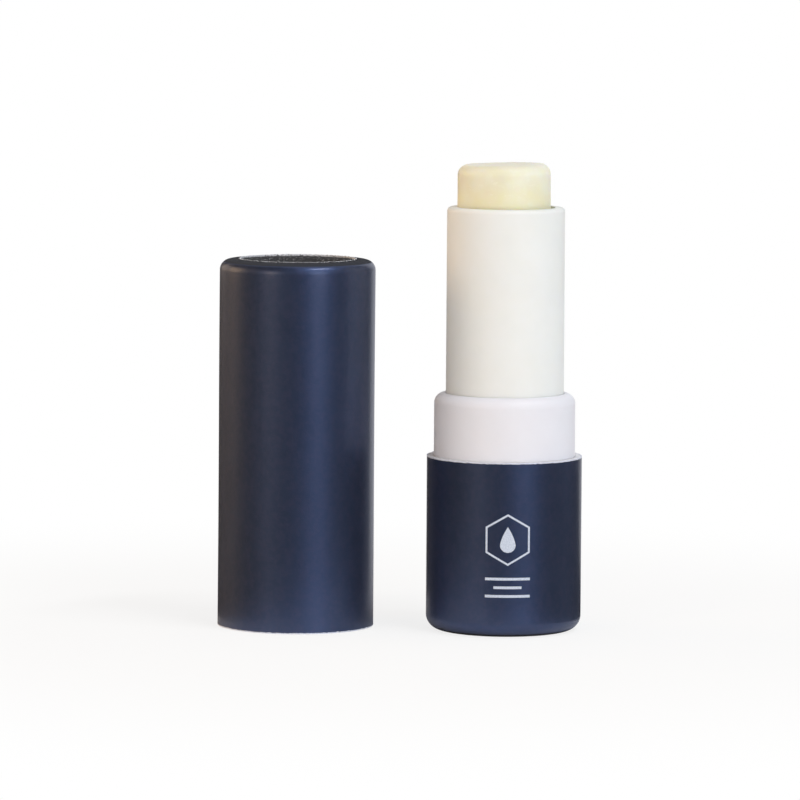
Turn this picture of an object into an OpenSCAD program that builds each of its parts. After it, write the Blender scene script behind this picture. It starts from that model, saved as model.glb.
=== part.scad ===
// Twist-up balm stick in a paper tube, with its paper cap stood beside it.
// Millimetres, +Z up. The origin is the centre of the stick's foot, on the surface it stands on.

/* [Paper tubes] */
// Outer diameter of the base
base_d = 20; // [17:0.1:24]
// Height of the paper base, up to its cut edge
base_h = 22.4; // [20:0.1:30]
// Height of the cap, from its mouth to its rolled rim
cap_h = 47.4; // [44:0.1:60]
// Thickness of the printed cover paper
cover_t = 0.15; // [0.1:0.01:0.2]
// Thickness of the base's board wall
base_board_t = 0.7; // [0.6:0.01:0.8]
// Thickness of the cap's board wall
cap_board_t = 0.78; // [0.6:0.01:0.8]
// Outer rounding of the base's rolled edge
base_round_r = 1.9; // [1.5:0.1:2.2]
// Outer rounding of the cap's rolled edge
cap_round_r = 1.35; // [1.25:0.05:1.8]
// Radius of the slight crown on top of the cap's rolled edge
cap_crown_r = 10.4; // [8:0.1:13]
// Flat width on the crest of a rolled edge
crest_w = 0.3; // [0.1:0.05:0.5]
// Inner rounding of a rolled edge
lip_r = 1.05; // [1.01:0.01:1.3]
// Depth of an end disc below its rolled edge
disc_recess = 1.6; // [1.4:0.1:2.4]
// Thickness of an end disc
disc_t = 1; // [0.6:0.1:1.5]
// Step inside the board wall that an end disc rests on
ledge = 0.2; // [0.18:0.01:0.3]

/* [Collar] */
// Height of the collar's neck above the paper
neck_h = 8.1; // [6:0.1:12]
// Wall of the neck, from the sleeve's gap out to the cap's bore
neck_wall = 1.4; // [1:0.05:2]
// Rounding of the neck's shoulder, limited by the wall
shoulder_r = 1.35; // [0.6:0.05:1.4]
// Thickness of the floor of the collar's insert
floor_t = 1; // [0.8:0.1:1.6]
// Step from the neck in to the skirt that is glued into the paper
skirt_step = 0.18; // [0.17:0.01:0.3]
// Lead-in at the skirt's lower edge
skirt_chamfer = 0.4; // [0.2:0.1:0.8]
// Number of grip ribs that centre the skirt in the paper
grips = 12; // [6:1:20]
// Width of a grip rib
grip_w = 0.8; // [0.5:0.1:1.2]
// Distance of the grip ribs from both ends of the skirt
grip_inset = 1.5; // [0.5:0.5:4]

/* [Sleeve] */
// Height of the sleeve above the collar
sleeve_rise = 24; // [20:0.5:40]
// Wall of the sleeve
sleeve_wall = 0.68; // [0.64:0.01:0.76]
// Depth of the spiral grooves
groove_depth = 0.355; // [0.33:0.005:0.4]
// Rise of a spiral groove in one turn
lead = 14; // [10:0.5:18]
// Thickness of the lip that closes the sleeve's top over the guide tube
lip_t = 1; // [0.8:0.1:1.4]
// Outer rounding of the sleeve's top
rim_round = 0.55; // [0.4:0.05:1]

/* [Guide tube] */
// Wall of the guide tube
guide_wall = 0.5; // [0.4:0.01:0.55]
// Height of the guide tube's keyed foot
foot_h = 4; // [3:0.1:6]
// Thickness of each of the foot's flanges
flange_t = 1.2; // [0.8:0.1:1.4]
// Number of keys round the foot
keys = 8; // [4:1:12]
// Width of a key
key_w = 1.4; // [0.8:0.1:1.6]
// Height of the snap bead's flat top
bead_w = 0.6; // [0.4:0.05:0.8]
// How far the snap bead stands out
bead_out = 0.2; // [0.15:0.01:0.22]
// Distance of the snap bead below the top of the guide tube
bead_drop = 2.4; // [2:0.1:3]

/* [Cup and balm] */
// Height of the cup
cup_h = 9; // [7:0.5:12]
// Wall of the cup
cup_wall = 0.4; // [0.35:0.05:0.6]
// Floor of the cup
cup_floor = 1; // [0.8:0.1:1.5]
// Diameter of the hole in the cup's floor
cup_vent_d = 4; // [2:0.5:6]
// Diameter of the lugs
lug_d = 1.6; // [1.4:0.05:1.8]
// Height of the lugs' centre above the cup's underside
lug_z = 1.8; // [1.6:0.1:2.4]
// Number of ribs that grip the balm
ribs = 4; // [3:1:6]
// Thickness and depth of a rib
rib_t = 0.5; // [0.4:0.05:0.8]
// Length of the balm above the cup's floor
balm_l = 43.5; // [30:0.5:44]
// Rounding of the balm's shoulder
balm_round = 1.4; // [0.8:0.1:2.5]
// How far the balm is turned up
balm_raise = 8; // [0:0.5:36]

/* [Clearances] */
// Glue line between two glued pieces
glue_gap = 0.03; // [0.02:0.01:0.05]
// Gap between the cap's bore and the neck
cap_fit = 0.04; // [0.03:0.01:0.08]
// Gap between parts that run in each other
run_gap = 0.05; // [0.04:0.01:0.08]
// Gap between the sleeve and the collar round it
collar_gap = 0.1; // [0.06:0.01:0.12]
// Gap between the balm and the guide tube
balm_gap = 0.38; // [0.15:0.01:0.45]
// Gap on each side of a lug in its slot and groove
lug_gap = 0.2; // [0.1:0.05:0.3]
// Gap at the end of a stroke, and between parts stacked on the axis
end_gap = 0.2; // [0.1:0.05:0.3]

/* [Where the cap stands] */
// Room between the cap and the stick, seen from the front
cap_apart = 6.81; // [2:0.01:40]
// Cap's axis behind the stick
cap_behind = 2.7; // [0:0.1:10]

/* [Hidden] */
$fn = 96;
round_steps = 12;
crown_steps = 6;
// How far a cut runs past the face that it opens
cut_past = 1;
// Flat that stays on top of the neck beside its rounding
neck_land = 0.05;

// Radii, from the paper inwards and then from the sleeve inwards
base_r = base_d / 2;
base_bore_r = base_r - cover_t - base_board_t;
neck_r = base_bore_r - glue_gap;
skirt_r = neck_r - skirt_step;
cap_bore_r = neck_r + cap_fit;
cap_r = cap_bore_r + cap_board_t + cover_t;
collar_bore_r = neck_r - neck_wall;
sleeve_r = collar_bore_r - collar_gap;
sleeve_bore_r = sleeve_r - sleeve_wall;
guide_r = sleeve_bore_r - run_gap;
guide_bore_r = guide_r - guide_wall;
cup_r = guide_bore_r - run_gap;
cup_bore_r = cup_r - cup_wall;
balm_r = guide_bore_r - balm_gap;
plug_r = cup_bore_r - glue_gap;
groove_r = sleeve_bore_r + groove_depth;
lug_reach = groove_r - 2 * run_gap;
cap_left = base_r + cap_apart + cap_r;

// Levels, from the floor up
disc_top = disc_recess + disc_t;
foot_z = disc_top + floor_t;
foot_top = foot_z + foot_h;
sleeve_z = foot_top + run_gap;
neck_top = base_h + neck_h;
sleeve_top = neck_top + sleeve_rise;
guide_top = sleeve_top - lip_t - end_gap;
bead_z = guide_top - bead_drop;

// Stroke: the cup runs from the foot of the guide tube up to just under the lip
cup_low = foot_top;
travel = guide_top - end_gap - cup_h - cup_low;
cup_z = cup_low + balm_raise;
lug_low = cup_low + lug_z;
lug_high = lug_low + travel;

// Keyed foot: small enough to go down through the collar's bore
key_r = collar_bore_r - 2 * run_gap;
key_depth = 0.2;
foot_r = key_r - key_depth;
foot_hub_r = guide_r + key_depth / 2;
key_turn = 180 / keys;

// The two lugs, slots and grooves face the front and the back, and the ribs lie between them
lug_turns = [90, 270];
rib_turn = 45;

// Spiral groove, cut by a swept tool
groove_steps = 36;
groove_slope = atan(lead / (2 * PI * sleeve_bore_r));
groove_h = (lug_d + 2 * lug_gap) / cos(groove_slope);
groove_turn_up = (lug_high - cup_z - lug_z + lug_d / 2 + end_gap) / lead;
groove_turn_down = (cup_z + lug_z - sleeve_z + groove_h) / lead;

board_white = "#ebe8e0";
navy = "#323f5e";
dark_board = "#33322f";
plastic_white = "#e6e4e8";
plastic_cream = "#e9e9e1";
plastic_natural = "#dfdfdb";
wax = "#eee9c8";

// Points along an arc from angle a0 to a1
function arc(centre, r, a0, a1, steps = round_steps) = [
    for (i = [0 : steps])
        let (a = a0 + (a1 - a0) * i / steps)
        centre + r * [cos(a), sin(a)]
];

function reversed(list) = [for (i = [len(list) - 1 : -1 : 0]) list[i]];

// A rolled edge has an outer rounding, a flatter crown, a crest and an inner lip.
// Each inset t gives the same curves, so the paper and the board under it nest.
roll_turn = 84;

function round_centre(r, h, round_r, crown_r) = [
    r - round_r,
    h - crown_r + (crown_r - round_r) * sin(roll_turn)
];

function crown_centre(r, h, round_r, crown_r) =
    round_centre(r, h, round_r, crown_r)
    - (crown_r - round_r) * [cos(roll_turn), sin(roll_turn)];

function crest_in_r(r, h, round_r, crown_r) = crown_centre(r, h, round_r, crown_r)[0] - crest_w;

function roll_outside(r, h, round_r, crown_r, t) = concat(
    arc(round_centre(r, h, round_r, crown_r), round_r - t, 0, roll_turn),
    arc(crown_centre(r, h, round_r, crown_r), crown_r - t, roll_turn, 90, crown_steps)
);

function roll_lip(r, h, round_r, crown_r, t) =
    arc([crest_in_r(r, h, round_r, crown_r), h - lip_r], lip_r - t, 90, 180);

// Board wall, open and cut square at z = 0, rolled inwards at z = h.
// It is thinner from the ledge to the end of the roll.
module board_tube(r, h, board_t, round_r, crown_r) {
    outside = cover_t;
    inside = cover_t + board_t;
    inside_roll = inside - ledge;
    lip_end = h - disc_recess;
    lip_x = crest_in_r(r, h, round_r, crown_r) - lip_r;
    rotate_extrude()
        polygon(concat(
            [[r - outside, 0]],
            roll_outside(r, h, round_r, crown_r, outside),
            roll_lip(r, h, round_r, crown_r, outside),
            [[lip_x + outside, lip_end], [lip_x + inside_roll, lip_end]],
            reversed(roll_lip(r, h, round_r, crown_r, inside_roll)),
            reversed(roll_outside(r, h, round_r, crown_r, inside_roll)),
            [
                [r - inside_roll, h - disc_top],
                [r - inside, h - disc_top],
                [r - inside, 0]
            ]
        ));
}

// Cover paper, glued round the board and trimmed at the crest of the roll
module cover_paper(r, h, round_r, crown_r) {
    crest_in = crest_in_r(r, h, round_r, crown_r);
    rotate_extrude()
        polygon(concat(
            [[r, 0]],
            roll_outside(r, h, round_r, crown_r, 0),
            [[crest_in, h], [crest_in, h - cover_t]],
            reversed(roll_outside(r, h, round_r, crown_r, cover_t)),
            [[r - cover_t, 0]]
        ));
}

// Board disc, caught between the ledge and the end of the roll
module end_disc(bore_r, h) {
    translate([0, 0, h - disc_top])
        cylinder(r = bore_r + ledge - 2 * glue_gap, h = disc_t);
}

module stand_cap() {
    translate([-cap_left, cap_behind, 0]) children();
}

// Turns a tube over, so that its rolled end is the foot
module rolled_end_down(h) {
    translate([0, 0, h]) mirror([0, 0, 1]) children();
}

module cap_tube() {
    color(board_white)
        stand_cap()
            board_tube(cap_r, cap_h, cap_board_t, cap_round_r, cap_crown_r);
}

module cap_cover() {
    color(navy)
        stand_cap()
            cover_paper(cap_r, cap_h, cap_round_r, cap_crown_r);
}

module cap_disc() {
    color(dark_board)
        stand_cap()
            end_disc(cap_bore_r, cap_h);
}

module base_tube() {
    color(board_white)
        rolled_end_down(base_h)
            board_tube(base_r, base_h, base_board_t, base_round_r, base_round_r);
}

module base_cover() {
    color(navy)
        rolled_end_down(base_h)
            cover_paper(base_r, base_h, base_round_r, base_round_r);
}

module base_disc() {
    color(dark_board)
        rolled_end_down(base_h)
            end_disc(base_bore_r, base_h);
}

// Keys round the foot, or with a gap round them the keyways in the collar
module foot_keys(gap) {
    root_r = (guide_bore_r + guide_r) / 2;
    intersection() {
        for (i = [0 : keys - 1])
            rotate([0, 0, key_turn + 360 * i / keys])
                translate([root_r, -key_w / 2 - gap, foot_z])
                    cube([key_r + gap - root_r, key_w + 2 * gap, foot_h]);
        translate([0, 0, foot_z])
            cylinder(r = key_r + gap, h = foot_h);
    }
}

// Ribs on the skirt. Their corners reach as far out as the neck.
module grip_ribs() {
    root_r = skirt_r - skirt_step;
    tip = sqrt(pow(neck_r, 2) - pow(grip_w / 2, 2));
    bottom = disc_top + grip_inset;
    for (i = [0 : grips - 1])
        rotate([0, 0, 180 / grips + 360 * i / grips])
            translate([root_r, -grip_w / 2, bottom])
                cube([tip - root_r, grip_w, base_h - grip_inset - bottom]);
}

// One moulding: a neck that the cap grips, a skirt glued into the paper, and a floor
module collar() {
    shoulder = min(shoulder_r, neck_wall - neck_land);
    color(plastic_white)
        difference() {
            union() {
                rotate_extrude()
                    polygon(concat(
                        [
                            [0, disc_top],
                            [skirt_r - skirt_chamfer, disc_top],
                            [skirt_r, disc_top + skirt_chamfer],
                            [skirt_r, base_h],
                            [neck_r, base_h]
                        ],
                        arc([neck_r - shoulder, neck_top - shoulder], shoulder, 0, 90),
                        [
                            [collar_bore_r, neck_top],
                            [collar_bore_r, foot_top],
                            [foot_r + run_gap, foot_top],
                            [foot_r + run_gap, foot_z],
                            [0, foot_z]
                        ]
                    ));
                grip_ribs();
            }
            foot_keys(run_gap / 2);
        }
}

// Straight slot through the guide tube's wall, with round ends
module lug_slot() {
    slot_r = lug_d / 2 + lug_gap;
    low = lug_low - end_gap + lug_gap;
    high = lug_high + end_gap - lug_gap;
    for (z = [low, high])
        translate([0, 0, z])
            rotate([0, 90, 0])
                cylinder(r = slot_r, h = guide_r + cut_past);
    translate([0, -slot_r, low])
        cube([guide_r + cut_past, 2 * slot_r, high - low]);
}

// Slotted tube that keeps the cup from turning, with a keyed foot and a snap bead
module guide_tube() {
    color(plastic_natural)
        difference() {
            union() {
                rotate_extrude()
                    polygon([
                        [guide_bore_r, foot_z],
                        [foot_r, foot_z],
                        [foot_r, foot_z + flange_t],
                        [foot_hub_r, foot_z + flange_t],
                        [foot_hub_r, foot_top - flange_t],
                        [foot_r, foot_top - flange_t],
                        [foot_r, foot_top],
                        [guide_r, foot_top],
                        [guide_r, bead_z - bead_w / 2 - bead_out],
                        [guide_r + bead_out, bead_z - bead_w / 2],
                        [guide_r + bead_out, bead_z + bead_w / 2],
                        [guide_r, bead_z + bead_w / 2 + bead_out],
                        [guide_r, guide_top],
                        [guide_bore_r, guide_top]
                    ]);
                foot_keys(0);
            }
            for (a = lug_turns)
                rotate([0, 0, a]) lug_slot();
        }
}

// Sections of the groove's cutting tool, one for each step along the spiral
function groove_section(i) =
    let (
        a = 360 * i / groove_steps,
        z = cup_z + lug_z - lead * i / groove_steps,
        inner = guide_bore_r,
        outer = groove_r / cos(180 / groove_steps),
        half = groove_h / 2
    )
    [
        [inner * cos(a), inner * sin(a), z - half],
        [outer * cos(a), outer * sin(a), z - half],
        [outer * cos(a), outer * sin(a), z + half],
        [inner * cos(a), inner * sin(a), z + half]
    ];

module spiral_groove_tool() {
    first = -ceil(groove_steps * groove_turn_up);
    last = ceil(groove_steps * groove_turn_down);
    count = last - first;
    points = [for (i = [first : last]) each groove_section(i)];
    sides = [
        for (i = [0 : count - 1], k = [0 : 3])
            let (a = 4 * i + k, b = 4 * i + (k + 1) % 4)
            each [[a, b, a + 4], [b, b + 4, a + 4]]
    ];
    ends = [
        [0, 2, 1], [0, 3, 2],
        [4 * count, 4 * count + 1, 4 * count + 2], [4 * count, 4 * count + 2, 4 * count + 3]
    ];
    polyhedron(points = points, faces = concat(sides, ends));
}

// The tube that shows above the collar: turning it drives the lugs along its two grooves
module spiral_sleeve() {
    bead_r = guide_r + bead_out + run_gap;
    bead_half = bead_w / 2 + end_gap;
    color(plastic_cream)
        difference() {
            rotate_extrude()
                polygon(concat(
                    [[sleeve_bore_r, sleeve_z], [sleeve_r, sleeve_z]],
                    arc([sleeve_r - rim_round, sleeve_top - rim_round], rim_round, 0, 90),
                    [
                        [guide_bore_r, sleeve_top],
                        [guide_bore_r, sleeve_top - lip_t],
                        [sleeve_bore_r, sleeve_top - lip_t],
                        [sleeve_bore_r, bead_z + bead_half + bead_out],
                        [bead_r, bead_z + bead_half],
                        [bead_r, bead_z - bead_half],
                        [sleeve_bore_r, bead_z - bead_half - bead_out]
                    ]
                ));
            for (a = lug_turns)
                rotate([0, 0, a]) spiral_groove_tool();
        }
}

// Ribs inside the cup, or with a gap round them the slits that they leave in the balm
module cup_ribs(gap) {
    rib_h = cup_h - cup_floor - 2 * rib_t;
    for (i = [0 : ribs - 1])
        rotate([0, 0, rib_turn + 360 * i / ribs])
            translate([cup_bore_r - rib_t - gap, -rib_t / 2 - gap, cup_z + cup_floor])
                cube([rib_t + cup_wall / 2 + gap, rib_t + 2 * gap, rib_h + gap]);
}

module cup() {
    color(plastic_natural)
        difference() {
            union() {
                difference() {
                    translate([0, 0, cup_z])
                        cylinder(r = cup_r, h = cup_h);
                    translate([0, 0, cup_z + cup_floor])
                        cylinder(r = cup_bore_r, h = cup_h);
                }
                cup_ribs(0);
                for (a = lug_turns)
                    rotate([0, 0, a])
                        translate([cup_r - cup_wall / 2, 0, cup_z + lug_z])
                            rotate([0, 90, 0])
                                cylinder(d = lug_d, h = lug_reach - cup_r + cup_wall / 2);
            }
            translate([0, 0, cup_z - cut_past])
                cylinder(d = cup_vent_d, h = cup_floor + 2 * cut_past);
        }
}

// Cast wax: a plug that fills the cup, and a stick above it with a rounded shoulder
module balm() {
    bottom = cup_z + cup_floor;
    cup_top = cup_z + cup_h;
    top = bottom + balm_l;
    color(wax)
        difference() {
            rotate_extrude()
                polygon(concat(
                    [[0, bottom], [plug_r, bottom], [plug_r, cup_top], [balm_r, cup_top]],
                    arc([balm_r - balm_round, top - balm_round], balm_round, 0, 90),
                    [[0, top]]
                ));
            cup_ribs(glue_gap);
        }
}

cap_tube();
cap_cover();
cap_disc();
base_tube();
base_cover();
base_disc();
collar();
guide_tube();
spiral_sleeve();
cup();
balm();
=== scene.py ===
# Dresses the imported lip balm: paper tubes with cut and rolled edges, plastic and wax.
import math

import bpy
import numpy as np
from mathutils import Matrix, Vector


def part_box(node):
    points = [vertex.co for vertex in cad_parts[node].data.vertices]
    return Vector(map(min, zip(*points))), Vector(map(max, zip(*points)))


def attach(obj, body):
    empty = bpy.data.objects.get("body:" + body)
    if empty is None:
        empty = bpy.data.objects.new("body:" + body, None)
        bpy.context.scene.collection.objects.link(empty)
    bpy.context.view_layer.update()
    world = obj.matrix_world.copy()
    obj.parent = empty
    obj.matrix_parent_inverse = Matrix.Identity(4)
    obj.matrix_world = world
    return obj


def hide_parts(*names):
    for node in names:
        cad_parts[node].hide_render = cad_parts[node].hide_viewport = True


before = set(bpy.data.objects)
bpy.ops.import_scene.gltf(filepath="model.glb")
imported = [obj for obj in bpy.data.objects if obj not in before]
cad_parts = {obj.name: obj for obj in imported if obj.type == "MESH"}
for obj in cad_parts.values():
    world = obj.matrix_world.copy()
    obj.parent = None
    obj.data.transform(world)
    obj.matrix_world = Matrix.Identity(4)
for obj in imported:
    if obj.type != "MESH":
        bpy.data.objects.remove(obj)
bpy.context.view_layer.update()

MM = 0.001

# The camera's fit to the photograph: the point at the picture's centre, the camera's distance and
# height over it, the dip of the lens axis (the rest is lens shift, which keeps uprights parallel),
# its roll and its focal length
AIM = Vector((-13.53, 0.0, 29.44)) * MM
CAMERA_DISTANCE = 749 * MM
CAMERA_RISE = math.radians(5.4)
CAMERA_DIP = math.radians(1.0)
CAMERA_ROLL = math.radians(0.42)
LENS_MM = 260.2
SENSOR_MM = 36

# Paper tubes, as the frame has them
COVER_T = 0.15 * MM
BASE_BOARD_T = 0.7 * MM
CAP_BOARD_T = 0.78 * MM
BASE_ROUND_R = 1.9 * MM
CAP_ROUND_R = 1.35 * MM
CAP_CROWN_R = 10.4 * MM
CREST_W = 0.3 * MM
LIP_R = 1.05 * MM
DISC_RECESS = 1.6 * MM
DISC_T = 1.0 * MM
DISC_GAP = 0.06 * MM
DISC_UNEVEN = 0.02 * MM
LEDGE = 0.2 * MM
ROLL_TURN = math.radians(84)
TUBE_SEGMENTS = 720
SHARP_ANGLE = math.radians(40)
# The roll's paper is dulled, and painted a neutral grey as shade, above this share of its rounding,
# and torn over this width at its edge, where its fibres stand up by the height CAP_FRAY on the cap
DULL_AND_SHADE_FROM = 0.66
TORN_W = 0.6 * MM
CAP_FRAY = 0.1 * MM
# Unevenness of the paper: its faces, the lap of its seam, and the fuzz of its cut edges in
# millimetres, which is a wave round the edge and a scatter of single hairs
FACE_WAVE = 0.012 * MM
SEAM_ANGLE = math.radians(100)
SEAM_LAP = 0.22
SEAM_LAP_T = 0.035 * MM
PAPER_FUZZ = (0.016, 0.018)
BOARD_FUZZ = (0.012, 0.016)

# Balm
PLUG_H = 8.0 * MM
PLUG_STEP = 0.16 * MM
BALM_ROUND = 1.4 * MM
BALM_SLANT = math.radians(1.0)
BALM_LEAN = 0.3 * MM
BALM_DENT = 0.018 * MM
BALM_PITS = 0.006 * MM
# The top's unevenness and how far it is sunk, both fading out over this height
BALM_SOFT = 0.05 * MM
BALM_SINK = 0.06 * MM
BALM_TOP_H = 2.2 * MM

# A generic print on the base's face, in millimetres round it and up it: a hexagon outline with a
# drop in it, and three bars
PRINT_TURN = math.radians(-88)
PRINT_PROUD = 0.012 * MM
PRINT_SUNK = 0.03 * MM
HEXAGON_R = 3.3
HEXAGON_UP = 12.6
HEXAGON_LINE = 0.085
DROP_SIZE = (2.0, 3.3)
BAR_WIDTHS = (5.8, 3.6, 5.8)
TOP_BAR_UP = 7.6
BAR_STEP = 1.1
BAR_H = 0.34

# Area lamps: azimuth and elevation in degrees, size in metres, radiance and colour. Azimuth 0 is
# the camera's side and 90 is the right.
LAMP_DISTANCE = 0.9
LAMPS = {
    "key": (31, 14, (0.36, 0.95), 3.0, (0.97, 0.985, 1.0)),
    "high_key": (50, 61, (0.32, 0.08), 31.0, (0.98, 0.99, 1.0)),
    "right_edge": (105, 8, (0.40, 0.6), 0.8, (0.96, 0.98, 1.0)),
    "left_fill": (-40, 15, (0.26, 0.45), 4.3, (1.0, 0.74, 0.48)),
    "left_edge": (-106, 14, (0.46, 0.45), 3.3, (1.0, 0.62, 0.28)),
    "left_rim": (-140, 10, (0.36, 0.45), 1.2, (1.0, 0.78, 0.56)),
}


def make_camera():
    data = bpy.data.cameras.new("camera")
    data.lens = LENS_MM
    data.sensor_width = SENSOR_MM
    data.clip_start = 0.01
    data.clip_end = 100
    camera = bpy.data.objects.new("camera", data)
    bpy.context.scene.collection.objects.link(camera)
    back = Vector((0, -math.cos(CAMERA_RISE), math.sin(CAMERA_RISE)))
    axis = Vector((0, math.cos(CAMERA_DIP), -math.sin(CAMERA_DIP)))
    camera.rotation_mode = "QUATERNION"
    camera.location = AIM + CAMERA_DISTANCE * back
    level = axis.to_track_quat("-Z", "Y")
    turn = level @ Matrix.Rotation(CAMERA_ROLL, 3, "Z").to_quaternion()
    camera.rotation_quaternion = turn
    aim = turn.inverted() @ (AIM - camera.location)
    data.shift_x = aim.x / -aim.z * LENS_MM / SENSOR_MM
    data.shift_y = aim.y / -aim.z * LENS_MM / SENSOR_MM
    bpy.context.scene.camera = camera


# Profiles are lists of (radius, height)
def arc(centre, radius, start, end, steps):
    return [
        (centre[0] + radius * math.cos(a), centre[1] + radius * math.sin(a))
        for a in np.linspace(start, end, steps + 1)
    ]


def line(start, end, steps):
    return [
        (start[0] + (end[0] - start[0]) * t, start[1] + (end[1] - start[1]) * t)
        for t in np.linspace(0, 1, steps + 1)
    ]


class Tube:
    """Sizes and curves of a paper tube, open at height 0 and rolled inwards at its other end."""

    def __init__(self, radius, height, board_t, round_r, crown_r):
        self.radius = radius
        self.height = height
        self.board_t = board_t
        self.round_r = round_r
        self.crown_r = crown_r
        self.round_centre = (
            radius - round_r,
            height - crown_r + (crown_r - round_r) * math.sin(ROLL_TURN),
        )
        self.crown_centre = (
            self.round_centre[0] - (crown_r - round_r) * math.cos(ROLL_TURN),
            self.round_centre[1] - (crown_r - round_r) * math.sin(ROLL_TURN),
        )
        self.crest_in = self.crown_centre[0] - CREST_W

    def outside(self, inset):
        """The outer curve of the roll, from the wall up to the crest."""
        rounding = arc(self.round_centre, self.round_r - inset, 0, ROLL_TURN, 16)
        crown = arc(self.crown_centre, self.crown_r - inset, ROLL_TURN, math.pi / 2, 8)
        return rounding + crown[1:]

    def lip(self, inset):
        """The inner curve of the roll, from the crest down to the inner face."""
        centre = (self.crest_in, self.height - LIP_R)
        return arc(centre, LIP_R - inset, math.pi / 2, math.pi, 16)


def waves(seed, count, most_round, most_up):
    """A smooth field over angle and height, of size about 1, that closes round the axis."""
    draw = np.random.default_rng(seed)
    around = draw.integers(1, most_round + 1, count)
    upward = draw.uniform(-most_up, most_up, count)
    phase = draw.uniform(0, 2 * math.pi, count)

    def field(angle, height):
        total = sum(
            np.sin(k * angle + m * height / MM + p) for k, m, p in zip(around, upward, phase)
        )
        return total * math.sqrt(2 / count)

    return field


def new_object(name, vertices, faces, tags=None):
    mesh = bpy.data.meshes.new(name)
    mesh.from_pydata(vertices, [], faces)
    mesh.validate()
    for tag, values in (tags or {}).items():
        attribute = mesh.attributes.new(tag, "FLOAT", "POINT")
        attribute.data.foreach_set("value", np.asarray(values, np.float32))
    mesh.shade_smooth()
    mesh.set_sharp_from_angle(angle=SHARP_ANGLE)
    piece = bpy.data.objects.new(name, mesh)
    bpy.context.scene.collection.objects.link(piece)
    return piece


def lathe(name, profile, axis, shift, segments=TUBE_SEGMENTS, tags=None, closed=True):
    """Turns a profile round an upright axis. The profile runs clockwise, seen with the axis on its
    left, and isn't closed where it starts and ends on the axis. shift gives each point's move
    outwards and up, and tags a value for each point of the profile."""
    angle = np.arange(segments) * 2 * math.pi / segments
    points = np.array(profile)
    vertices = []
    rings = []
    spread = {tag: [] for tag in tags or {}}
    for i, (radius, height) in enumerate(points):
        pole = radius < 1e-9
        a = angle[:1] if pole else angle
        out, up = shift(i, a, radius, height)
        r = radius + (0 if pole else out)
        x = axis[0] + r * np.cos(a)
        y = axis[1] + r * np.sin(a)
        z = height + up * np.ones_like(a)
        start = len(vertices)
        vertices.extend(zip(x, y, z))
        rings.append([start] * segments if pole else list(range(start, start + segments)))
        for tag in spread:
            spread[tag].extend([tags[tag][i]] * len(a))
    faces = []
    pairs = list(zip(rings, rings[1:]))
    if closed:
        pairs.append((rings[-1], rings[0]))
    for low, high in pairs:
        for j in range(segments):
            k = (j + 1) % segments
            corners = (low[j], low[k], high[k], high[j])
            faces.append(tuple(dict.fromkeys(corners)))
    return new_object(name, vertices, faces, spread)


# Node materials
class Surface:
    """A material with one Principled shader, and texture coordinates in millimetres."""

    def __init__(self, name):
        self.material = bpy.data.materials.new(name)
        self.material.use_nodes = True
        self.tree = self.material.node_tree
        self.nodes = self.tree.nodes
        self.shader = self.nodes["Principled BSDF"]
        coordinates = self.nodes.new("ShaderNodeTexCoord")
        scale = self.nodes.new("ShaderNodeVectorMath")
        scale.operation = "SCALE"
        scale.inputs["Scale"].default_value = 1 / MM
        self.link(coordinates.outputs["Object"], scale.inputs[0])
        self.mm = scale.outputs[0]

    def link(self, out, into):
        self.tree.links.new(out, into)

    def set(self, **values):
        """Sets the shader's own sockets: base_color becomes Base Color."""
        for key, value in values.items():
            self.shader.inputs[key].default_value = value

    def stretched(self, factors):
        node = self.nodes.new("ShaderNodeVectorMath")
        node.operation = "MULTIPLY"
        node.inputs[1].default_value = factors
        self.link(self.mm, node.inputs[0])
        return node.outputs[0]

    def noise(self, per_mm, detail=3, roughness=0.55, vector=None):
        node = self.nodes.new("ShaderNodeTexNoise")
        node.inputs["Scale"].default_value = per_mm
        node.inputs["Detail"].default_value = detail
        node.inputs["Roughness"].default_value = roughness
        self.link(vector or self.mm, node.inputs["Vector"])
        return node.outputs["Fac"]

    def attribute(self, name):
        node = self.nodes.new("ShaderNodeAttribute")
        node.attribute_name = name
        return node.outputs["Fac"]

    def math(self, operation, a, b):
        node = self.nodes.new("ShaderNodeMath")
        node.operation = operation
        for socket, value in zip(node.inputs, (a, b)):
            if isinstance(value, (int, float)):
                socket.default_value = value
            else:
                self.link(value, socket)
        return node.outputs[0]

    def span(self, value, low, high, to_low=0.0, to_high=1.0):
        """Maps low..high to to_low..to_high, smoothly and clamped."""
        node = self.nodes.new("ShaderNodeMapRange")
        node.interpolation_type = "SMOOTHSTEP"
        for key, number in (
            ("From Min", low), ("From Max", high), ("To Min", to_low), ("To Max", to_high)
        ):
            node.inputs[key].default_value = number
        self.link(value, node.inputs["Value"])
        return node.outputs["Result"]

    def mix(self, factor, a, b):
        node = self.nodes.new("ShaderNodeMix")
        node.data_type = "RGBA"
        self.link(factor, node.inputs["Factor"])
        for socket, value in ((node.inputs["A"], a), (node.inputs["B"], b)):
            if isinstance(value, tuple):
                socket.default_value = value
            else:
                self.link(value, socket)
        return node.outputs["Result"]

    def color(self, out):
        self.link(out, self.shader.inputs["Base Color"])

    def roughness(self, out):
        self.link(out, self.shader.inputs["Roughness"])

    def bump(self, *layers):
        """Each layer is a height and its size in millimetres."""
        normal = None
        for height, size in layers:
            node = self.nodes.new("ShaderNodeBump")
            node.inputs["Strength"].default_value = 1
            node.inputs["Distance"].default_value = size * MM
            self.link(height, node.inputs["Height"])
            if normal:
                self.link(normal, node.inputs["Normal"])
            normal = node.outputs["Normal"]
        self.link(normal, self.shader.inputs["Normal"])


def srgb(red, green, blue):
    """A display colour, 0 to 255, as the linear one that the shaders take."""
    def linear(value):
        share = value / 255
        return share / 12.92 if share <= 0.04045 else ((share + 0.055) / 1.055) ** 2.4
    return (linear(red), linear(green), linear(blue), 1.0)


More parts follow.
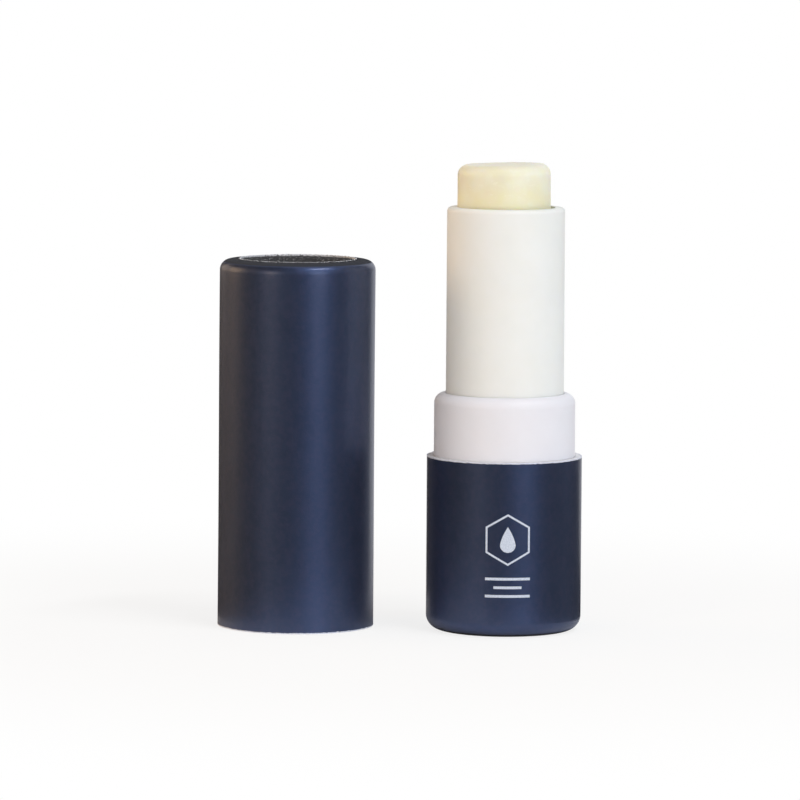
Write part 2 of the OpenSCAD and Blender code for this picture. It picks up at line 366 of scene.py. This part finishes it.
def navy_paper(name, specular, coat):
    """Soft-touch printed paper. Where the tag roll is 1, on the roll's upturned top and the base's
    foot, it is rougher and painted a neutral grey as shade, and where torn is 1 its dark fibres
    show. Its white core shows where the tag cut is 1, with a ragged line."""
    s = Surface(name)
    cloud = s.noise(0.35, 2)
    grain = s.noise(9.0, 4, 0.65)
    mottle = s.noise(1.3, 3, 0.6)
    navy = s.mix(s.span(cloud, 0.3, 0.7), srgb(33, 39, 49), srgb(37, 43, 54))
    mottled = s.mix(s.span(mottle, 0.35, 0.7, 0.0, 0.8), navy, srgb(47, 46, 57))
    flecked = s.mix(s.span(grain, 0.58, 0.86, 0.0, 0.4), mottled, srgb(56, 61, 74))
    # Painted shade: the roll's top, and the base's foot, turn from navy to a neutral grey
    painted_roll_shade = s.mix(s.attribute("roll"), flecked, srgb(58, 60, 65))
    speck = s.span(s.noise(4.0, 4, 0.75), 0.56, 0.68)
    fibres = s.mix(speck, srgb(44, 45, 48), srgb(128, 129, 132))
    torn = s.mix(s.attribute("torn"), painted_roll_shade, fibres)
    ragged = s.math("ADD", s.attribute("cut"), s.math("MULTIPLY", s.noise(7.0, 3), 0.9))
    core = s.mix(s.span(s.noise(14.0, 2), 0.3, 0.7), srgb(206, 210, 220), srgb(232, 235, 242))
    s.color(s.mix(s.span(ragged, 0.88, 1.0), torn, core))
    satin = s.span(grain, 0.25, 0.75, 0.40, 0.48)
    s.roughness(s.math("ADD", satin, s.math("MULTIPLY", s.attribute("roll"), 0.5)))
    s.set(**{
        "IOR": 1.7,
        "Specular IOR Level": specular,
        "Specular Tint": (0.27, 0.42, 1.0, 1.0),
        "Coat Weight": coat,
        "Coat Roughness": 0.22,
    })
    s.bump((s.noise(2.2, 3), 0.012), (grain, 0.010))
    return s.material


def board():
    """White wound board. Where the tag dark is 1, on the lip of its roll in the recess, it is dark
    grey with pale specks, the dark grey being painted shade.
    """
    s = Surface("board")
    fibre = s.noise(6.0, 4, 0.7, s.stretched((1.0, 1.0, 0.35)))
    white = s.mix(s.span(fibre, 0.3, 0.7), srgb(214, 215, 220), srgb(238, 238, 240))
    speck = s.span(s.noise(4.0, 4, 0.75), 0.55, 0.68)
    dark = s.mix(speck, srgb(60, 61, 64), srgb(160, 161, 164))
    # Painted shade: dark grey in place of the white board on the roll's lip in the recess
    s.color(s.mix(s.attribute("dark"), white, dark))
    s.set(**{"Roughness": 0.92, "Specular IOR Level": 0.2})
    s.bump((fibre, 0.04), (s.noise(16.0, 3), 0.03))
    return s.material


def dark_board():
    """Rough dark board of the end discs."""
    s = Surface("dark_board")
    fibre = s.noise(2.6, 5, 0.7)
    speck = s.span(s.noise(6.0, 4, 0.75), 0.62, 0.72)
    grey = s.mix(s.span(fibre, 0.3, 0.7), srgb(36, 37, 40), srgb(54, 54, 56))
    s.color(s.mix(speck, grey, srgb(104, 104, 104)))
    s.set(**{"Roughness": 0.95, "Specular IOR Level": 0.2})
    s.bump((fibre, 0.06), (s.noise(12.0, 3), 0.04))
    return s.material


def moulded_plastic(name, color, shade, roughness, subsurface, radius_mm):
    """Moulded plastic with a faint cloud in its colour and the tool's fine satin."""
    s = Surface(name)
    cloud = s.noise(0.22, 3)
    s.color(s.mix(s.span(cloud, 0.3, 0.7), color, shade))
    satin = s.noise(12.0, 2)
    s.roughness(s.span(s.noise(0.5, 3), 0.3, 0.7, roughness - 0.04, roughness + 0.04))
    s.set(**{
        "Subsurface Weight": subsurface,
        "Subsurface Radius": tuple(r * MM for r in radius_mm),
        "Subsurface Scale": 1.0,
        "IOR": 1.5,
    })
    s.bump((s.noise(0.4, 2), 0.005), (satin, 0.0016))
    return s.material


def wax():
    """Pale wax, mottled, with a little frost near the top. It is painted yellower low down, near
    the sleeve's rim, as bounce light from the sleeve, and paler and greyer at the top as painted
    shade.
    """
    s = Surface("wax")
    mottle = s.noise(0.35, 3, 0.5)
    split = s.nodes.new("ShaderNodeSeparateXYZ")
    s.link(s.mm, split.inputs[0])
    # Painted light: yellower up to 53.5 mm as bounce from the sleeve, greyer from 59.5 mm as shade,
    # blended between
    upper_grey_shade = s.mix(s.span(mottle, 0.3, 0.7), srgb(228, 226, 205), srgb(232, 232, 217))
    lower_painted_bounce = s.mix(s.span(mottle, 0.3, 0.7), srgb(235, 230, 194), srgb(236, 234, 206))
    body = s.mix(s.span(split.outputs["Z"], 53.5, 59.5), lower_painted_bounce, upper_grey_shade)
    frost = s.span(s.noise(1.1, 3, 0.6, s.stretched((1.0, 1.0, 2.2))), 0.58, 0.72, 0.0, 0.35)
    s.color(s.mix(frost, body, srgb(240, 240, 222)))
    s.roughness(s.span(mottle, 0.3, 0.7, 0.36, 0.52))
    s.set(**{
        "Subsurface Weight": 0.7,
        "Subsurface Radius": (1.9 * MM, 1.5 * MM, 0.7 * MM),
        "Subsurface Scale": 1.0,
        "IOR": 1.44,
    })
    s.bump((s.noise(0.8, 3), 0.02), (s.noise(5.0, 3), 0.004))
    return s.material


def print_ink():
    """White ink, a little worn."""
    s = Surface("print_ink")
    s.color(s.mix(s.span(s.noise(8.0, 3), 0.35, 0.75), srgb(206, 216, 232), srgb(176, 188, 210)))
    s.set(**{"Roughness": 0.55, "Specular IOR Level": 0.3})
    return s.material


# Pieces
def finish_piece(piece, material, body, slot, *nodes):
    if material:
        piece.data.materials.append(material)
    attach(piece, body)
    if nodes:
        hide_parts(*nodes)


def turned_over(points, tube):
    """A tube's profile with its rolled end as the foot, in the same sense of turning."""
    return [(r, tube.height - z) for r, z in reversed(points)]


def paper_cover(name, tube, axis, flipped, seed, material, rolled):
    """Cover paper: outer face, cut edges, and the face that is glued to the board."""
    soft = 0.03 * MM
    wall_low, *bend = tube.outside(0)
    inner = list(reversed(tube.outside(COVER_T)))
    mouth = [
        (tube.radius - COVER_T, 0),
        (tube.radius - COVER_T / 2, 0),
        (tube.radius - soft, 0),
        (tube.radius, soft),
        (tube.radius, 3 * soft),
        (tube.radius, 8 * soft),
    ]
    wall = line((tube.radius, 12 * soft), wall_low, 24)
    fray = 0 if flipped else CAP_FRAY
    crest = [(tube.crest_in + soft, tube.height + fray), (tube.crest_in, tube.height - soft + fray)]
    cut_in = [(tube.crest_in, tube.height - COVER_T)]
    points = mouth + wall + bend + crest + cut_in + inner
    cut = [1, 1, 1, 1, 0.7, 0.1] + [0] * len(wall) + [0] * (len(bend) - 1)
    cut += [0.25, 0.58, 0.58, 0.5] + [0] * len(inner)
    rough = [1 if c >= 0.4 else c for c in cut]
    # The roll tag rises with the share of the rounding's height, so the roll's upturned top (the
    # foot, on the base) gets the rougher paper and the painted grey shade
    above = [(z - tube.round_centre[1]) / tube.round_r for _, z in bend]
    dulled_and_shaded = [float(np.clip((share - DULL_AND_SHADE_FROM) / (1 - DULL_AND_SHADE_FROM) * 2, 0, 1)) for share in above]
    before = len(mouth) + len(wall)
    after = len(crest) + len(cut_in) + len(inner)
    roll = [0] * before + dulled_and_shaded + [1] * after
    torn = [0] * before + [float(r < tube.crest_in + TORN_W) for r, _ in bend] + [1] * after
    if flipped:
        points = turned_over(points, tube)
        cut, rough, roll, torn = (tag[::-1] for tag in (cut, rough, roll, torn))
    body_wave = waves(seed, 10, 6, 0.15)
    edge_wave = waves(seed + 1, 24, 90, 0)
    draw = np.random.default_rng(seed + 2)
    wave_mm, hair_mm = PAPER_FUZZ

    def shift(i, a, radius, height):
        turn = np.mod(a - SEAM_ANGLE, 2 * math.pi)
        lap = SEAM_LAP_T * np.clip(1 - turn / SEAM_LAP, 0, 1)
        out = FACE_WAVE * body_wave(a, height) + lap
        fuzz = wave_mm * edge_wave(a, 0) + hair_mm * draw.normal(size=len(a))
        return out + rough[i] * fuzz * MM / 2, rough[i] * fuzz * MM

    tags = {"cut": cut, "roll": roll, "torn": torn}
    piece = lathe(name, points, axis, shift, tags=tags)
    piece.data.materials.append(material)
    piece.data.materials.append(rolled)
    bands = [int(low > 0.5 and high > 0.5) for low, high in zip(roll, roll[1:] + roll[:1])]
    piece.data.polygons.foreach_set("material_index", np.repeat(bands, TUBE_SEGMENTS))
    return piece, body_wave


def board_wall(name, tube, axis, flipped, seed, body_wave):
    """Board wall: bore, cut edge, and the roll with its furry lip, which is tagged dark for painted
    shade.
    """
    inside = COVER_T + tube.board_t
    in_roll = inside - LEDGE
    tiny = 0.02 * MM
    edge_up = 0.05 * MM
    edge_in = 0.03 * MM
    lip_end = tube.height - DISC_RECESS
    lip_x = tube.crest_in - LIP_R
    wall_low, *curve = tube.outside(COVER_T + tiny)
    outer = line((tube.radius - COVER_T - tiny, edge_up), wall_low, 8)
    lip = tube.lip(COVER_T)
    end = [(lip_x + COVER_T, lip_end), (lip_x + in_roll, lip_end)]
    back = list(reversed(tube.lip(in_roll))) + list(reversed(tube.outside(in_roll)))
    ledge = [
        (tube.radius - in_roll, tube.height - DISC_RECESS - DISC_T),
        (tube.radius - inside, tube.height - DISC_RECESS - DISC_T),
    ]
    bore = line(ledge[-1], (tube.radius - inside, edge_up), 10)[1:]
    edge = line((tube.radius - inside + edge_in, 0), (tube.radius - COVER_T - tiny, 0), 6)
    points = []
    dark = []
    rough = []
    # The lip, its end and the roll's back are tagged dark: painted shade of the recess
    for part, in_painted_shade, is_rough in (
        (outer, 0, 0), (curve, 0, 0), (lip, 1, 1), (end, 1, 1),
        (back, 1, 0), (ledge, 0, 0), (bore, 0, 0), (edge, 0, 1),
    ):
        points += part
        dark += [in_painted_shade] * len(part)
        rough += [is_rough] * len(part)
    if flipped:
        points = turned_over(points, tube)
        dark, rough = dark[::-1], rough[::-1]
    edge_wave = waves(seed, 24, 120, 3.0)
    draw = np.random.default_rng(seed + 1)
    wave_mm, hair_mm = BOARD_FUZZ

    def shift(i, a, radius, height):
        out = FACE_WAVE * body_wave(a, height)
        fuzz = wave_mm * edge_wave(a, height) + hair_mm * draw.normal(size=len(a))
        return out + rough[i] * fuzz * MM, rough[i] * fuzz * MM

    return lathe(name, points, axis, shift, tags={"dark": dark})


def end_board(name, tube, axis, flipped, seed):
    """End disc, with a slightly uneven face."""
    radius = tube.radius - COVER_T - tube.board_t + LEDGE - DISC_GAP
    top = tube.height - DISC_RECESS
    low = top - DISC_T
    points = [(0, low)] + line((radius / 8, low), (radius, low), 7)
    points += line((radius, top), (radius / 40, top), 39) + [(0, top)]
    if flipped:
        points = turned_over(points, tube)
    uneven = waves(seed, 30, 14, 0)
    outer = (tube.height - top) if flipped else top

    def shift(i, a, radius_here, height):
        face = abs(height - outer) < 1e-6 and radius_here < radius * 0.98
        slope = radius_here / radius
        up = DISC_UNEVEN * uneven(a, radius_here * 4) * slope if face else 0 * a
        return 0 * a, up

    return lathe(name, points, axis, shift, 240, closed=False)


def balm_stick(material):
    """The wax: a plug in the cup and a stick with a rounded shoulder, a little slanted."""
    low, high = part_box("balm")
    radius = (high.x - low.x) / 2
    bottom = low.z
    top = high.z
    shoulder = (radius - BALM_ROUND, top - BALM_ROUND)
    points = [(0, bottom)]
    points += line((radius / 4, bottom), (radius - PLUG_STEP, bottom), 4)
    points += line((radius - PLUG_STEP, bottom + 1 * MM), (radius - PLUG_STEP, bottom + PLUG_H), 4)
    points += line((radius, bottom + PLUG_H), (radius, shoulder[1]), 60)
    points += arc(shoulder, BALM_ROUND, 0, math.pi / 2, 20)[1:]
    points += line((shoulder[0] * 0.96, top), (shoulder[0] / 24, top), 22) + [(0, top)]
    dent = waves(11, 16, 5, 0.5)
    rounding = waves(12, 8, 4, 0.0)
    pits = waves(13, 40, 16, 2.0)
    height_span = top - bottom

    def shift(i, a, radius_here, height):
        share = (height - bottom) / height_span
        lean = -BALM_LEAN * share * np.cos(a)
        out = BALM_DENT * dent(a, height) + BALM_PITS * pits(a, height)
        near_top = max(0.0, 1 - (top - height) / BALM_TOP_H)
        slant = math.tan(BALM_SLANT) * radius_here * np.cos(a) * near_top
        soft = BALM_SOFT * rounding(a, 0) * near_top * (radius_here / radius) ** 2
        out_there = lean * (share > 0.3) + out * min(1, share * 3)
        return out_there, slant + soft - BALM_SINK * near_top

    piece = lathe("balm_wax", points, (0, 0), shift, 256, closed=False)
    finish_piece(piece, material, "carrier", "wax", "balm")


class Print:
    """Collects thin slabs that lie on the base's face."""

    def __init__(self, radius):
        self.radius = radius
        self.vertices = []
        self.faces = []

    def place(self, u, v, lift):
        angle = PRINT_TURN + u * MM / self.radius
        r = self.radius + lift
        return (r * math.cos(angle), r * math.sin(angle), v * MM)

    def slab(self, rows):
        """A grid of (u, v) points, as a closed slab."""
        wide = len(rows[0])
        start = len(self.vertices)
        flat = [p for row in rows for p in row]
        for lift in (PRINT_PROUD, -PRINT_SUNK):
            self.vertices.extend(self.place(u, v, lift) for u, v in flat)
        under = len(flat)
        for i in range(len(rows) - 1):
            for j in range(wide - 1):
                a = start + i * wide + j
                quad = (a, a + 1, a + wide + 1, a + wide)
                self.faces.append(quad)
                self.faces.append(tuple(q + under for q in reversed(quad)))
        rim = [(0, j) for j in range(wide)]
        rim += [(i, wide - 1) for i in range(1, len(rows))]
        rim += [(len(rows) - 1, j) for j in range(wide - 2, -1, -1)]
        rim += [(i, 0) for i in range(len(rows) - 2, 0, -1)]
        ring = [start + i * wide + j for i, j in rim]
        for a, b in zip(ring, ring[1:] + ring[:1]):
            self.faces.append((b, a, a + under, b + under))

    def bar(self, centre, width, height):
        columns = max(2, round(width / 0.3))
        us = np.linspace(centre[0] - width / 2, centre[0] + width / 2, columns + 1)
        self.slab([[(u, centre[1] + side * height / 2) for u in us] for side in (-1, 1)])

    def outline(self, corners, weight):
        """A closed line with mitred corners, drawn as one slab for each side."""
        centre = np.mean(corners, axis=0)
        inner = [tuple(centre + (np.array(c) - centre) * (1 - weight)) for c in corners]
        loop = list(zip(corners, inner))
        steps = 12
        for (a, a_in), (b, b_in) in zip(loop, loop[1:] + loop[:1]):
            self.slab([line(a_in, b_in, steps), line(a, b, steps)])

    def drop(self, centre, width, height):
        """A drop: a round foot that narrows to a point."""
        rows = []
        foot_r = width / 2
        for t in np.linspace(0, 1, 33):
            v = t * height
            if v < foot_r:
                half = math.sqrt(max(0.0, foot_r ** 2 - (foot_r - v) ** 2))
            else:
                rise = (v - foot_r) / (height - foot_r)
                half = foot_r * (1 - rise) * (1 + rise) ** 0.6
            half = max(half, 0.01)
            rows.append([
                (centre[0] + s * half, centre[1] - height / 2 + v) for s in np.linspace(-1, 1, 9)
            ])
        self.slab(rows)


def base_print(radius, material):
    ink = Print(radius)
    hexagon = [
        (HEXAGON_R * math.sin(a), HEXAGON_UP + HEXAGON_R * math.cos(a))
        for a in (i * math.pi / 3 for i in range(6))
    ]
    ink.outline(hexagon, HEXAGON_LINE)
    ink.drop((0, HEXAGON_UP), *DROP_SIZE)
    for row, width in enumerate(BAR_WIDTHS):
        ink.bar((0, TOP_BAR_UP - BAR_STEP * row), width, BAR_H)
    piece = new_object("base_print", ink.vertices, ink.faces)
    finish_piece(piece, material, "base", None)


# Stage
def softbox(name, azimuth, elevation, size, radiance, color):
    """An area lamp that faces the object."""
    data = bpy.data.lights.new(name, "AREA")
    data.shape = "RECTANGLE"
    data.size, data.size_y = size
    data.energy = radiance * math.pi * size[0] * size[1]
    data.color = color
    lamp = bpy.data.objects.new(name, data)
    a = math.radians(azimuth)
    e = math.radians(elevation)
    out = Vector((math.sin(a) * math.cos(e), -math.cos(a) * math.cos(e), math.sin(e)))
    lamp.location = AIM + LAMP_DISTANCE * out
    lamp.rotation_mode = "QUATERNION"
    lamp.rotation_quaternion = (-out).to_track_quat("-Z", "Y")
    bpy.context.scene.collection.objects.link(lamp)


def seen_as_background(nodes, links, near=None):
    """1 for rays that show the background: the camera's, and glossy and transmission ones.
    These two show it by the share near, where that is given."""
    path = nodes.new("ShaderNodeLightPath")
    mirrored = nodes.new("ShaderNodeMath")
    mirrored.operation = "MAXIMUM"
    links.new(path.outputs["Is Glossy Ray"], mirrored.inputs[0])
    links.new(path.outputs["Is Transmission Ray"], mirrored.inputs[1])
    share = nodes.new("ShaderNodeMath")
    share.operation = "MULTIPLY"
    share.inputs[1].default_value = 1
    links.new(mirrored.outputs[0], share.inputs[0])
    if near:
        links.new(near, share.inputs[1])
    seen = nodes.new("ShaderNodeMath")
    seen.operation = "MAXIMUM"
    links.new(path.outputs["Is Camera Ray"], seen.inputs[0])
    links.new(share.outputs[0], seen.inputs[1])
    return seen.outputs[0]


def make_world(ambient, tint):
    world = bpy.data.worlds.new("studio")
    bpy.context.scene.world = world
    world.use_nodes = True
    nodes = world.node_tree.nodes
    links = world.node_tree.links
    lit = nodes["Background"]
    lit.inputs["Color"].default_value = tint
    lit.inputs["Strength"].default_value = ambient
    white = nodes.new("ShaderNodeBackground")
    white.inputs["Color"].default_value = (1, 1, 1, 1)
    white.inputs["Strength"].default_value = 1
    mix = nodes.new("ShaderNodeMixShader")
    links.new(seen_as_background(nodes, links), mix.inputs[0])
    links.new(lit.outputs[0], mix.inputs[1])
    links.new(white.outputs[0], mix.inputs[2])
    links.new(mix.outputs[0], nodes["World Output"].inputs["Surface"])


def make_floor(color, least, near, far):
    """Pale floor. The background's white is mixed in, by least near the object, where the shadow
    stays. Reflections show the lit floor there, and the white one farther out."""
    half = 30.0
    corners = [(-half, -half, 0), (half, -half, 0), (half, half, 0), (-half, half, 0)]
    floor = new_object("floor", corners, [(0, 1, 2, 3)])
    material = bpy.data.materials.new("floor")
    material.use_nodes = True
    nodes = material.node_tree.nodes
    links = material.node_tree.links
    shader = nodes["Principled BSDF"]
    shader.inputs["Base Color"].default_value = color
    shader.inputs["Roughness"].default_value = 0.9
    shader.inputs["Specular IOR Level"].default_value = 0.1
    white = nodes.new("ShaderNodeEmission")
    white.inputs["Strength"].default_value = 1
    geometry = nodes.new("ShaderNodeNewGeometry")
    away = nodes.new("ShaderNodeVectorMath")
    away.operation = "DISTANCE"
    away.inputs[1].default_value = (AIM.x, 0, 0)
    links.new(geometry.outputs["Position"], away.inputs[0])
    blends = []
    for to_min in (least, 0):
        blend = nodes.new("ShaderNodeMapRange")
        blend.interpolation_type = "SMOOTHSTEP"
        blend.inputs["From Min"].default_value = near
        blend.inputs["From Max"].default_value = far
        blend.inputs["To Min"].default_value = to_min
        links.new(away.outputs["Value"], blend.inputs["Value"])
        blends.append(blend.outputs["Result"])
    factor = nodes.new("ShaderNodeMath")
    factor.operation = "MULTIPLY"
    links.new(blends[0], factor.inputs[0])
    links.new(seen_as_background(nodes, links, blends[1]), factor.inputs[1])
    mix = nodes.new("ShaderNodeMixShader")
    links.new(factor.outputs[0], mix.inputs[0])
    links.new(shader.outputs[0], mix.inputs[1])
    links.new(white.outputs[0], mix.inputs[2])
    links.new(mix.outputs[0], nodes["Material Output"].inputs["Surface"])
    floor.data.materials.append(material)


def make_dark_room(radius, table, left, right, steps):
    """The unlit room round the white table. It shows only in reflections, from left to right."""
    turns = np.radians(np.linspace(left, right, 2 * steps + 1))
    above_floor = 0.3 * MM
    rings = [(table, above_floor)]
    rings += [
        (radius * math.cos(e), above_floor + radius * math.sin(e))
        for e in np.linspace(0, math.pi / 2, steps + 1)
    ]
    corners = [
        (AIM.x + out * math.sin(a), -out * math.cos(a), up) for out, up in rings for a in turns
    ]
    wide = len(turns)
    faces = [
        (i * wide + j, i * wide + j + 1, (i + 1) * wide + j + 1, (i + 1) * wide + j)
        for i in range(len(rings) - 1) for j in range(wide - 1)
    ]
    room = new_object("dark_room", corners, faces)
    room.visible_camera = False
    room.visible_diffuse = False
    room.visible_transmission = False
    room.visible_shadow = False
    material = bpy.data.materials.new("dark_room")
    material.use_nodes = True
    shader = material.node_tree.nodes["Principled BSDF"]
    shader.inputs["Base Color"].default_value = (0.02, 0.02, 0.02, 1)
    shader.inputs["Roughness"].default_value = 1
    room.data.materials.append(material)


def dress_node(name, material):
    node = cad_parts[name]
    node.data.materials.clear()
    node.data.materials.append(material)


make_camera()
bpy.context.scene.view_settings.view_transform = "Standard"
make_world(ambient=0.42, tint=(1.0, 0.99, 0.99, 1))
for lamp_name, values in LAMPS.items():
    softbox(lamp_name, *values)
make_dark_room(radius=1.6, table=27 * MM, left=-168, right=142, steps=14)
make_floor(srgb(248, 248, 248), least=0.8, near=40 * MM, far=130 * MM)

paper = navy_paper("navy_paper", specular=1.0, coat=0.3)
rolled_paper = navy_paper("rolled_paper", specular=0.1, coat=0.0)
white_board = board()
disc_board = dark_board()

base_low, base_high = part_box("base_cover")
base_tube = Tube(
    (base_high.x - base_low.x) / 2, base_high.z, BASE_BOARD_T, BASE_ROUND_R, BASE_ROUND_R
)
cap_low, cap_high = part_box("cap_cover")
cap_tube = Tube((cap_high.x - cap_low.x) / 2, cap_high.z, CAP_BOARD_T, CAP_ROUND_R, CAP_CROWN_R)
cap_axis = ((cap_low.x + cap_high.x) / 2, (cap_low.y + cap_high.y) / 2)

for body, tube, axis, flipped, seed in (
    ("base", base_tube, (0, 0), True, 20),
    ("cap", cap_tube, cap_axis, False, 40),
):
    cover, body_wave = paper_cover(f"{body}_paper", tube, axis, flipped, seed, paper, rolled_paper)
    finish_piece(cover, None, body, "cover_paper", f"{body}_cover")
    wall = board_wall(f"{body}_board", tube, axis, flipped, seed + 5, body_wave)
    finish_piece(wall, white_board, body, "board", f"{body}_tube")
    disc = end_board(f"{body}_end", tube, axis, flipped, seed + 9)
    finish_piece(disc, disc_board, body, "disc_board", f"{body}_disc")

balm_stick(wax())
base_print(base_tube.radius, print_ink())

dress_node("collar", moulded_plastic(
    "collar_plastic", srgb(230, 231, 239), srgb(228, 229, 237),
    roughness=0.46, subsurface=0.20, radius_mm=(0.6, 0.5, 0.5),
))
dress_node("spiral_sleeve", moulded_plastic(
    "sleeve_plastic", srgb(233, 236, 236), srgb(231, 234, 233),
    roughness=0.50, subsurface=0.15, radius_mm=(0.5, 0.4, 0.3),
))
inner = moulded_plastic(
    "inner_plastic", srgb(226, 226, 220), srgb(220, 220, 214),
    roughness=0.50, subsurface=0.20, radius_mm=(0.8, 0.8, 0.7),
)
dress_node("guide_tube", inner)
dress_node("cup", inner)
